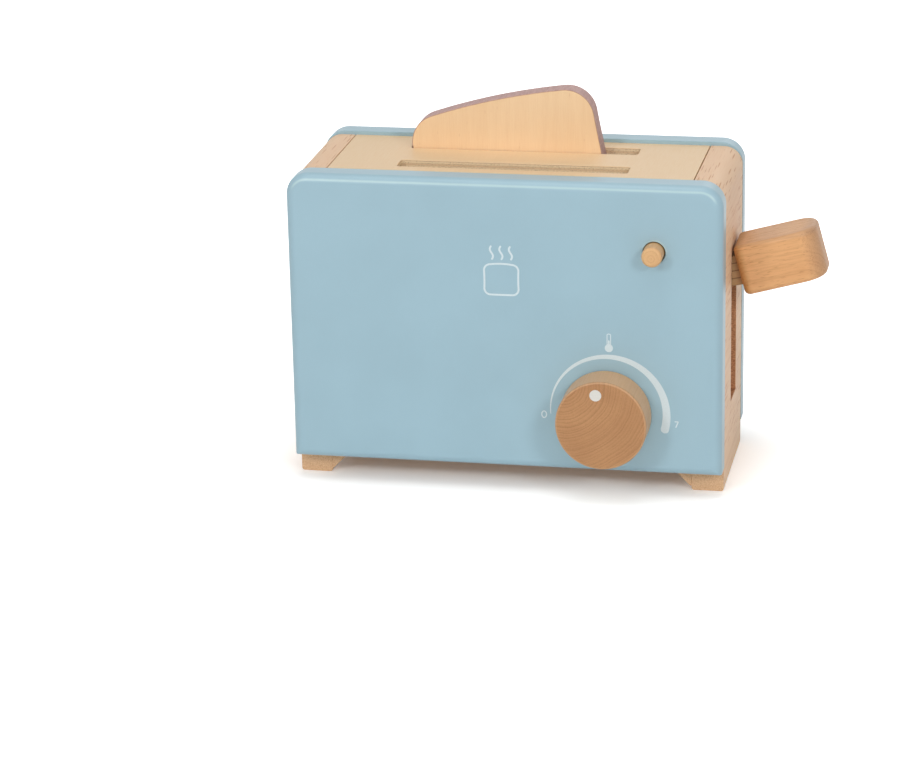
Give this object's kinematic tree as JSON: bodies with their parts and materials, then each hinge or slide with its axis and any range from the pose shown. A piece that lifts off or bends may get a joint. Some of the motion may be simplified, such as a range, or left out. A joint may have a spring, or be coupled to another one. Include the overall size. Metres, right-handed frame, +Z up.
{
  "type": "toy toaster",
  "caption": "Wooden toy toaster: painted panels, two bread slots, hinged lift plate with side handle, push button, dial knob and a toy toast slice.",
  "frame": {"origin": "middle of the whole toy's footprint on the surface it stands on, lever handle and knob included", "axes": "+X to the side with the lever handle, +Y from the dial side to the back, +Z up"},
  "size_m": [0.2566, 0.1156, 0.1855],
  "materials": {
    "blue_paint": "satin pale blue paint over wood",
    "rubberwood": "oiled rubberwood, short dark pores along the grain",
    "plywood": "birch plywood, plies showing at the cut edges",
    "beech": "oiled beech with short dark flecks",
    "toast_wood": "pale wood with a painted brown crust",
    "steel": "zinc plated steel wire",
    "felt": "wool felt",
    "white_print": "off-white printed paint, a few hundredths of a millimetre thick"
  },
  "bodies": {
    "housing": {"front_panel": "blue_paint", "back_panel": "blue_paint", "left_side_wall": "rubberwood", "right_side_wall": "rubberwood", "left_foot_block": "rubberwood", "right_foot_block": "rubberwood", "top_board": "plywood", "bottom_board": "plywood", "panel_dowels": "beech", "hinge_dowel": "beech", "stop_block": "rubberwood", "stop_felt": "felt", "top_screw_eye": "steel", "return_spring": "steel", "catch_bracket": "beech", "bracket_screws": "steel", "catch_pin": "steel", "catch_spring": "steel"},
    "lift_arm": {"lift_plate": "plywood", "hinge_batten": "beech", "lever_handle": "beech", "plate_screw_eye": "steel"},
    "bread": {"toast_slice": "toast_wood"},
    "button": {"release_button": "beech", "button_collar": "beech"},
    "catch": {"catch_lever": "plywood"},
    "dial": {"knob": "beech", "knob_axle": "beech", "knob_retainer": "plywood", "retainer_screw": "steel"}
  },
  "joints": [
    {"name": "lift_hinge", "type": "hinge", "parent": "housing", "child": "lift_arm", "pos_m": [-0.10175, 0.00925, 0.07464], "axis": [0, 1, 0], "range_deg": [0, 13], "stiffness_Nm_per_rad": 1.2, "springref_deg": -20.05, "deforming": ["return_spring"]},
    {"name": "slice_lift_out", "type": "slide", "parent": "lift_arm", "child": "bread", "axis": [-0.225, 0, 0.9744], "range_m": [0, 0.085]},
    {"name": "button_press", "type": "slide", "parent": "housing", "child": "button", "axis": [0, 1, 0], "range_m": [-0.0025, 0.005], "stiffness_N_per_m": 120},
    {"name": "catch_rock", "type": "hinge", "parent": "housing", "child": "catch", "pos_m": [0.05025, -0.01075, 0.098], "axis": [-1, 0, 0], "range_deg": [-5.7, 11.4], "deforming": ["catch_spring"]},
    {"name": "dial_turn", "type": "hinge", "parent": "housing", "child": "dial", "pos_m": [0.02715, -0.03925, 0.0419], "axis": [0, 1, 0], "continuous": true}
  ],
  "couplings": [
    {"joint": "catch_rock", "follows": "button_press", "rad_per_m": 39.526}
  ]
}
